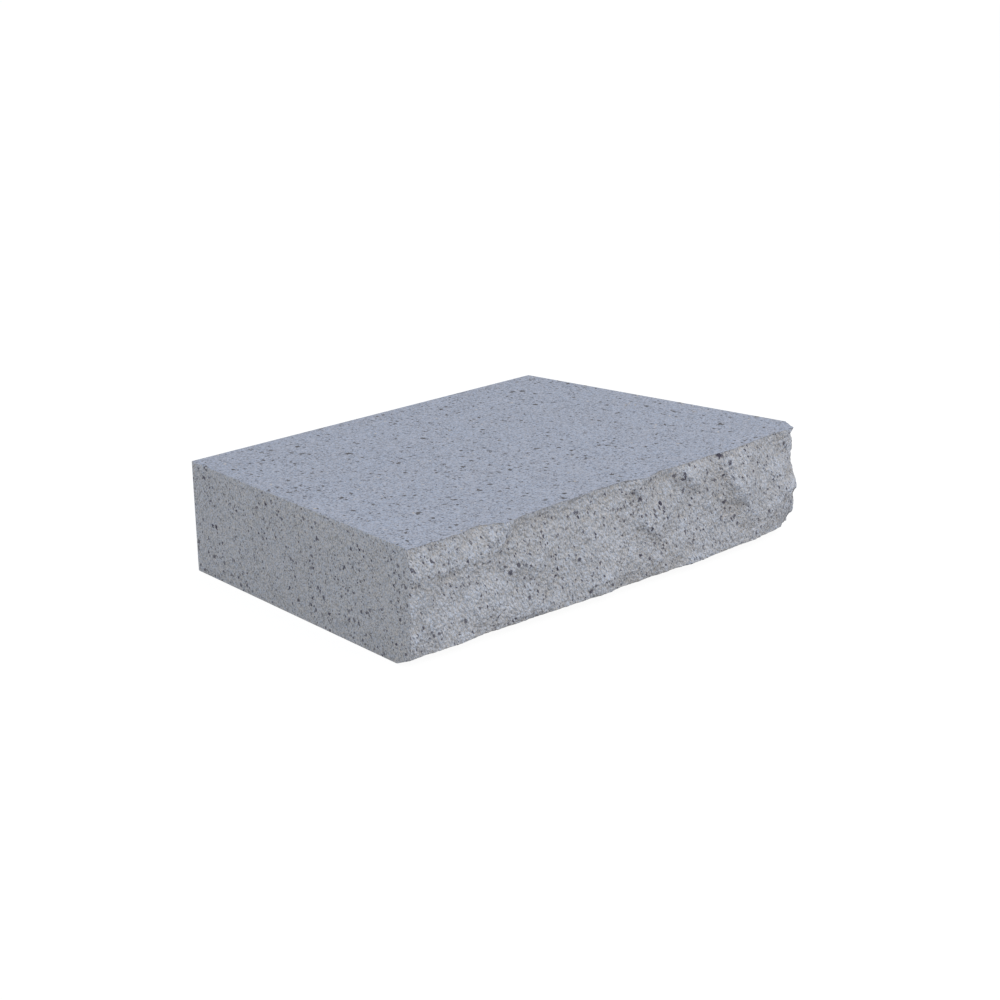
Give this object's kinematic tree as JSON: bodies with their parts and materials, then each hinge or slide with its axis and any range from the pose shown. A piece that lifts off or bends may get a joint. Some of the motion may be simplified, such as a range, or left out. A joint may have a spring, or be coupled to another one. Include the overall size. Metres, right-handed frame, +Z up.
{
  "type": "retaining wall cap",
  "caption": "Solid concrete cap block for a garden wall: trapezoid plan, smooth top, back and sides, rough split face.",
  "frame": {"origin": "centre of the underside, on the block's middle line, halfway from the back edge to the split face", "axes": "+X along the split face, +Y from the split face to the straight back edge, +Z up out of the smooth top"},
  "size_m": [0.443, 0.2815, 0.089],
  "materials": {
    "concrete": "pewter grey cast concrete with dark stone specks"
  },
  "bodies": {
    "root": {"wall_cap": "concrete"}
  },
  "joints": []
}
